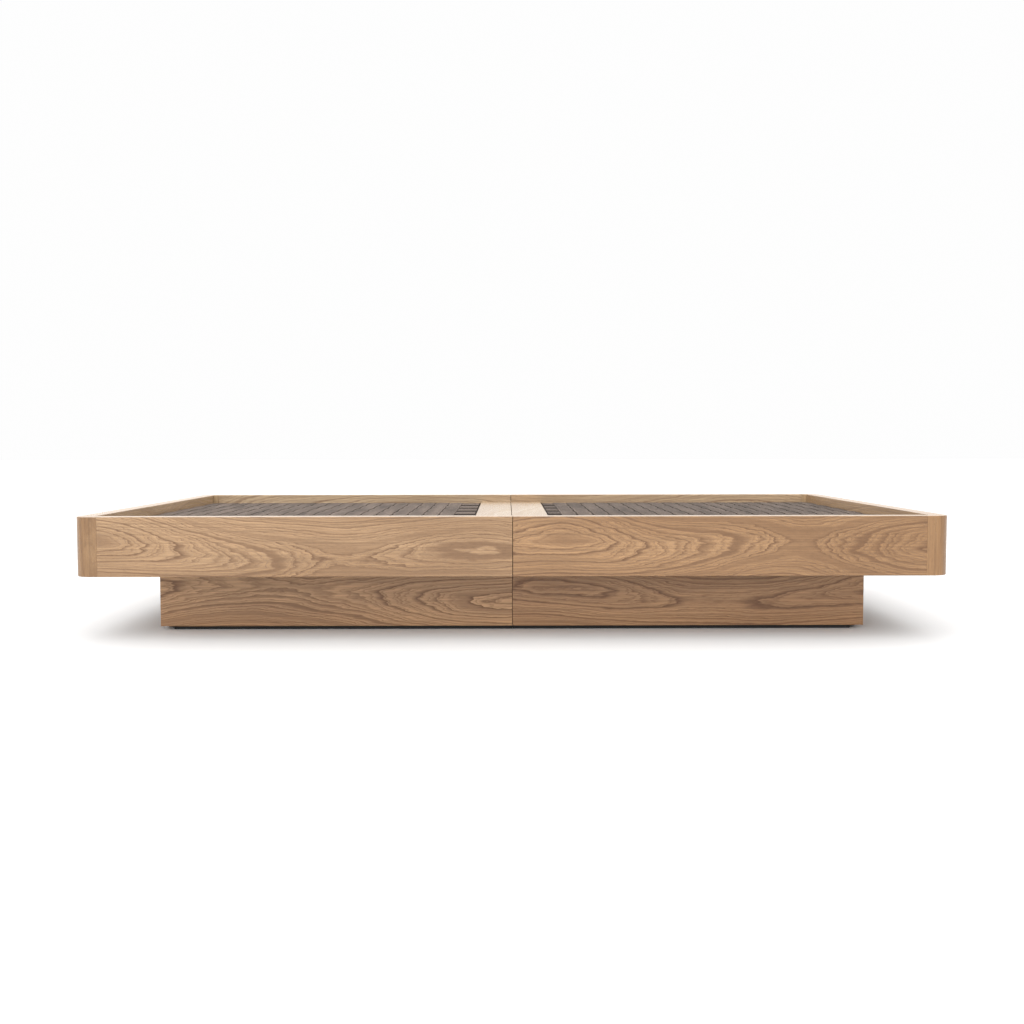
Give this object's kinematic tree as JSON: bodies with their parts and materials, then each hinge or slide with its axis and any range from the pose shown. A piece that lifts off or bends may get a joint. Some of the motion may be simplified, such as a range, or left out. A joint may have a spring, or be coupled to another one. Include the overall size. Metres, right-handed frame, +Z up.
{
  "type": "platform bed frame",
  "caption": "Low oak platform bed frame in two joined halves, with rounded corner posts, a woven webbing deck set below the rim, and a recessed plinth.",
  "frame": {"origin": "on the floor under the centre of the bed's plan", "axes": "+X along the bed's length, from the left half to the right half; +Y from the front long side to the rear; +Z up"},
  "size_m": [2.116, 1.216, 0.299],
  "materials": {
    "oak_rail": "clear satin oil on oak, grain along the rail",
    "oak_post": "clear satin oil on oak, grain upright",
    "oak_board": "clear matt oil on pale oak, grain from front to rear",
    "oak_plinth": "clear satin oil on oak, grain along the panel",
    "batten": "planed, unfinished",
    "webbing": "matt woven polyester webbing",
    "base_strip": "matt black",
    "screw_steel": "satin",
    "insert_brass": "plain",
    "dowel": "plain beech"
  },
  "bodies": {
    "left_half": {"left_front_rail": "oak_rail", "left_rear_rail": "oak_rail", "left_end_rail": "oak_rail", "left_front_corner_post": "oak_post", "left_rear_corner_post": "oak_post", "left_centre_rail": "batten", "left_outer_joist": "batten", "left_middle_joist": "batten", "left_front_cleat": "batten", "left_rear_cleat": "batten", "left_end_cleat": "batten", "left_webbing_bearer": "batten", "left_centre_board": "oak_board", "left_webbing": "webbing", "left_plinth_front": "oak_plinth", "left_plinth_rear": "oak_plinth", "left_plinth_end": "oak_plinth", "left_plinth_centre": "oak_plinth", "left_base_front": "base_strip", "left_base_rear": "base_strip", "left_base_end": "base_strip", "left_base_centre": "base_strip", "front_insert_nut": "insert_brass", "rear_insert_nut": "insert_brass", "front_dowel": "dowel", "rear_dowel": "dowel"},
    "right_half": {"right_front_rail": "oak_rail", "right_rear_rail": "oak_rail", "right_end_rail": "oak_rail", "right_front_corner_post": "oak_post", "right_rear_corner_post": "oak_post", "right_centre_rail": "batten", "right_outer_joist": "batten", "right_middle_joist": "batten", "right_front_cleat": "batten", "right_rear_cleat": "batten", "right_end_cleat": "batten", "right_webbing_bearer": "batten", "right_centre_board": "oak_board", "right_webbing": "webbing", "right_plinth_front": "oak_plinth", "right_plinth_rear": "oak_plinth", "right_plinth_end": "oak_plinth", "right_plinth_centre": "oak_plinth", "right_base_front": "base_strip", "right_base_rear": "base_strip", "right_base_end": "base_strip", "right_base_centre": "base_strip"},
    "front_knob_screw": {"front_knob_screw": "screw_steel"},
    "rear_knob_screw": {"rear_knob_screw": "screw_steel"}
  },
  "joints": [
    {"name": "halves_apart", "type": "slide", "parent": "left_half", "child": "right_half", "axis": [1, 0, 0], "range_m": [0, 0.3]},
    {"name": "front_screw_out", "type": "slide", "parent": "right_half", "child": "front_knob_screw", "axis": [1, 0, 0], "range_m": [0, 0.026]},
    {"name": "rear_screw_out", "type": "slide", "parent": "right_half", "child": "rear_knob_screw", "axis": [1, 0, 0], "range_m": [0, 0.026]}
  ]
}
